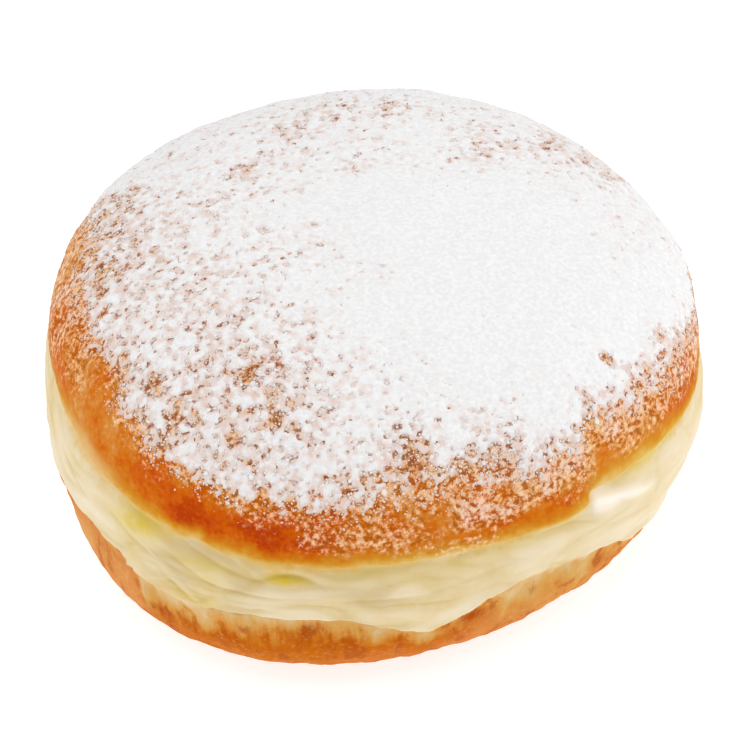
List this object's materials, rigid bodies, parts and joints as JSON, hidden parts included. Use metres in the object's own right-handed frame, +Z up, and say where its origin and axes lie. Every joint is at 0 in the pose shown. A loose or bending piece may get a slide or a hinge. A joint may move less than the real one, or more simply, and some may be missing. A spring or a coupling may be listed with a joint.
{
  "type": "jelly filled doughnut",
  "caption": "Round jelly doughnut, whole and uncut, with a browned crown dusted in powdered sugar, a pale belt round its side and a browned base that it rests on.",
  "frame": {"origin": "on the plane of the flat foot, under the middle of the doughnut's bounding box", "axes": "+Z up through the crown; -Y faces the viewer, where the crown's hanging lobe and its step lie to the right of the middle; +X to the viewer's right"},
  "size_m": [0.095, 0.0932, 0.0517],
  "materials": {
    "fried_dough": "fried yeast dough: orange-brown crust on the crown and the base, pale cream belt between them, soft satin to matt",
    "powdered_sugar": "fine white powdered sugar, matt"
  },
  "bodies": {
    "root": {"doughnut": "fried_dough"}
  },
  "joints": []
}
